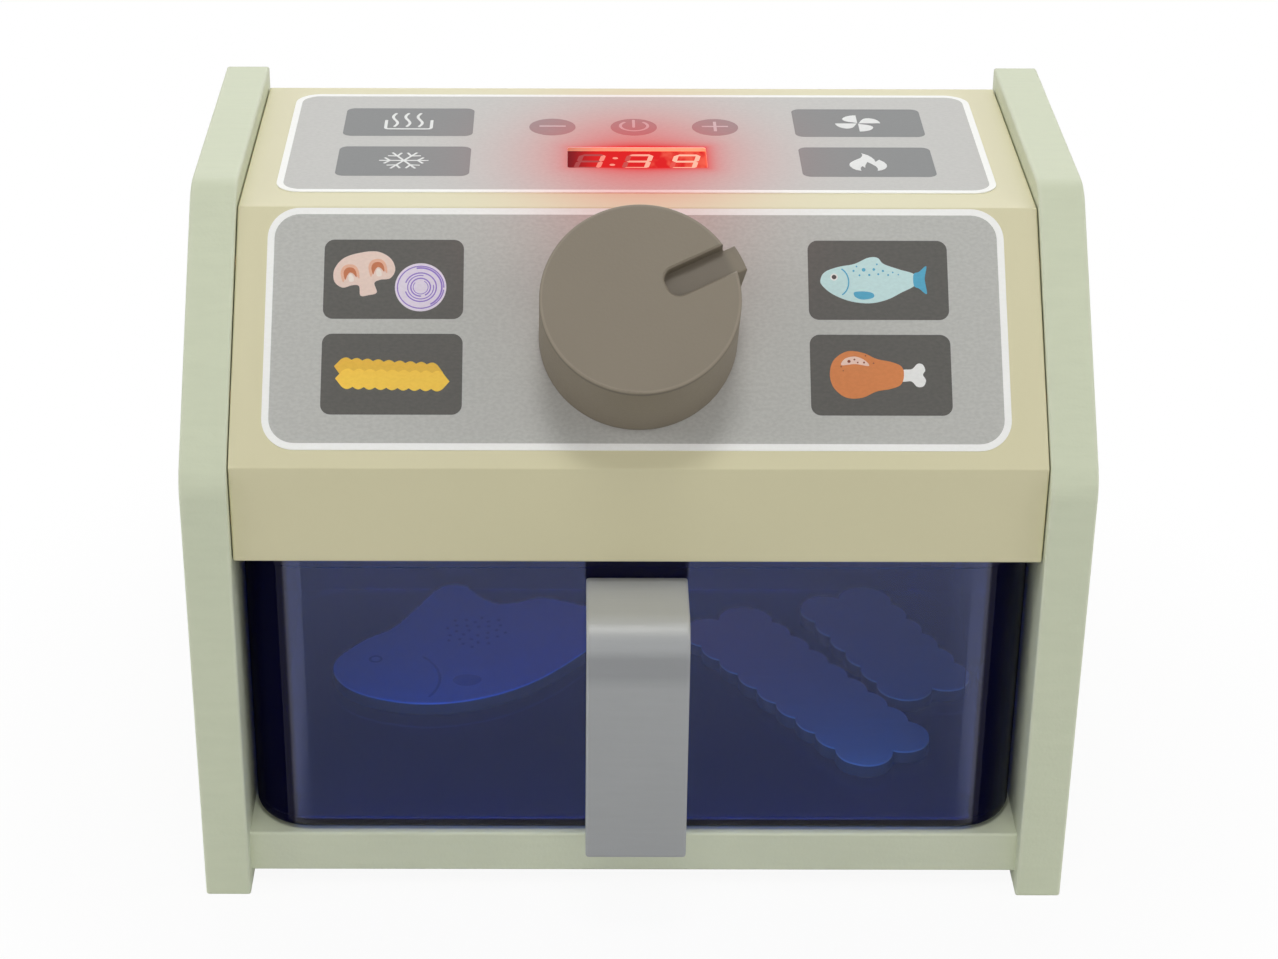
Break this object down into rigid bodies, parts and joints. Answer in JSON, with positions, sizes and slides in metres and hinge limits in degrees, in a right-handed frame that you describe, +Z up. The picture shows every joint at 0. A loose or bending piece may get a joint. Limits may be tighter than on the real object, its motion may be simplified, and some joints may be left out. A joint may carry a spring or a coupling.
{
  "type": "toy air fryer",
  "caption": "Play air fryer of painted boards: sloping front with turning knob, lit timer and press keys on top, and a clear blue drawer with play food that slides out.",
  "frame": {"origin": "middle of the footprint, handle included, on the floor", "axes": "+Z up, -Y towards the front with the drawer and the knob, +X to the right seen from the front"},
  "size_m": [0.23, 0.165, 0.1898],
  "materials": {
    "sage_paint": "satin sage green paint on fine fibreboard",
    "cream_paint": "satin cream paint on fine fibreboard",
    "back_paint": "matt cream paint on thin fibreboard",
    "beech": "plain beech",
    "grey_film": "printed, matt",
    "speckled_film": "printed with a fine speckle, matt",
    "timer_red": "translucent, glossy",
    "timer_lit": "translucent, lit from behind",
    "timer_dark": "translucent, unlit",
    "board_green": "glass-fibre laminate, solder resist",
    "white_nylon": "plain",
    "chip_black": "matt epoxy",
    "switch_black": "plain",
    "key_white": "plain",
    "battery_housing": "fine texture",
    "cell_wrap": "steel can in a plain wrap",
    "plated_steel": "zinc plated",
    "wire_insulation": "smooth",
    "knob_plastic": "fine satin",
    "spindle_steel": "turned",
    "clear_blue": "clear, polished",
    "handle_paint": "satin grey paint on wood",
    "fish_paint": "satin paint, printed",
    "chip_paint": "satin paint"
  },
  "bodies": {
    "housing": {"side_panel_left": "sage_paint", "side_panel_right": "sage_paint", "base_board": "sage_paint", "shelf_board": "cream_paint", "fascia_board": "cream_paint", "control_board": "cream_paint", "top_board": "cream_paint", "back_board": "back_paint", "dowels": "beech", "back_board_screws": "plated_steel", "top_film": "grey_film", "control_film": "speckled_film", "timer_module": "timer_red", "timer_lit_bars": "timer_lit", "timer_dark_bars": "timer_dark", "circuit_board": "board_green", "circuit_spacers": "white_nylon", "circuit_screws": "plated_steel", "controller_chip": "chip_black", "tact_switches": "switch_black", "battery_box": "battery_housing", "battery_door": "battery_housing", "battery_door_screw": "plated_steel", "battery_box_screws": "plated_steel", "battery_cells": "cell_wrap", "battery_contacts": "plated_steel", "battery_leads": "wire_insulation", "spindle_bush": "white_nylon", "thrust_washer": "plated_steel"},
    "selector": {"knob": "knob_plastic", "knob_spindle": "spindle_steel", "knob_screw": "plated_steel"},
    "drawer": {"drawer_bin": "clear_blue", "drawer_handle": "handle_paint", "handle_washers": "plated_steel", "handle_screws": "plated_steel"},
    "fish": {"play_fish": "fish_paint"},
    "near_chip": {"play_chip_near": "chip_paint"},
    "far_chip": {"play_chip_far": "chip_paint"},
    "minus": {"key_minus": "key_white"},
    "power": {"key_power": "key_white"},
    "plus": {"key_plus": "key_white"}
  },
  "joints": [
    {"name": "knob_turn", "type": "hinge", "parent": "housing", "child": "selector", "pos_m": [0, -0.03494, 0.15331], "axis": [0, -0.7071, 0.7071], "continuous": true},
    {"name": "drawer_slide", "type": "slide", "parent": "housing", "child": "drawer", "axis": [0, -1, 0], "range_m": [0, 0.11]},
    {"name": "minus_press", "type": "slide", "parent": "housing", "child": "minus", "axis": [0, 0, -1], "range_m": [0, 0.0005], "stiffness_N_per_m": 2000},
    {"name": "power_press", "type": "slide", "parent": "housing", "child": "power", "axis": [0, 0, -1], "range_m": [0, 0.0005], "stiffness_N_per_m": 2000},
    {"name": "plus_press", "type": "slide", "parent": "housing", "child": "plus", "axis": [0, 0, -1], "range_m": [0, 0.0005], "stiffness_N_per_m": 2000},
    {"name": "fish_lift", "type": "slide", "parent": "drawer", "child": "fish", "axis": [0, 0, 1], "range_m": [0, 0.06]},
    {"name": "near_chip_lift", "type": "slide", "parent": "drawer", "child": "near_chip", "axis": [0, 0, 1], "range_m": [0, 0.06]},
    {"name": "far_chip_lift", "type": "slide", "parent": "drawer", "child": "far_chip", "axis": [0, 0, 1], "range_m": [0, 0.06]}
  ]
}
